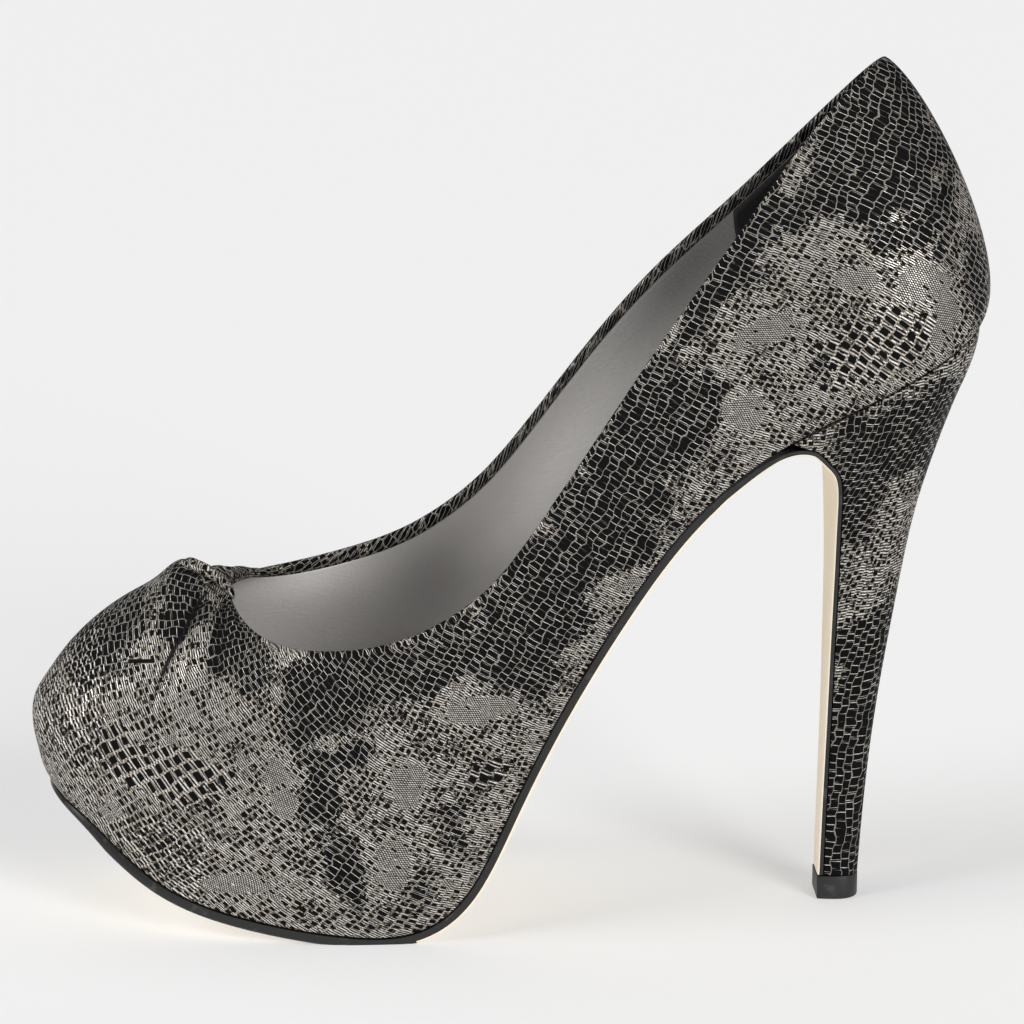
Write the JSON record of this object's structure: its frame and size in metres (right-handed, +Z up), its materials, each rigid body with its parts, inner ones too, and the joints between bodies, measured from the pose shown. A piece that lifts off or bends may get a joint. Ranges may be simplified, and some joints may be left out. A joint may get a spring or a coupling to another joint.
{
  "type": "platform pump",
  "caption": "Left closed-toe platform pump with a patterned fabric upper, a twisted throat knot, a leather outsole and a tall covered heel.",
  "frame": {"origin": "on the floor under the sole, at the middle of the shoe's length and width", "axes": "+Z up, +X from the toe towards the heel, +Y towards the inner side of the foot"},
  "size_m": [0.2224, 0.0762, 0.2003],
  "materials": {
    "patterned_fabric": "woven, silver on black, satin",
    "platform_core": "matte, hidden",
    "lining_leather": "pewter, semi-gloss",
    "sole_leather": "natural tan with a black edge, satin",
    "heel_fabric": "woven, silver on black, satin",
    "tip_rubber": "satin",
    "knot_fabric": "woven, silver on black, satin"
  },
  "bodies": {
    "root": {"upper": "patterned_fabric", "platform": "platform_core", "insole": "lining_leather", "outsole": "sole_leather", "heel": "heel_fabric", "heel_tip": "tip_rubber", "knot": "knot_fabric"}
  },
  "joints": []
}
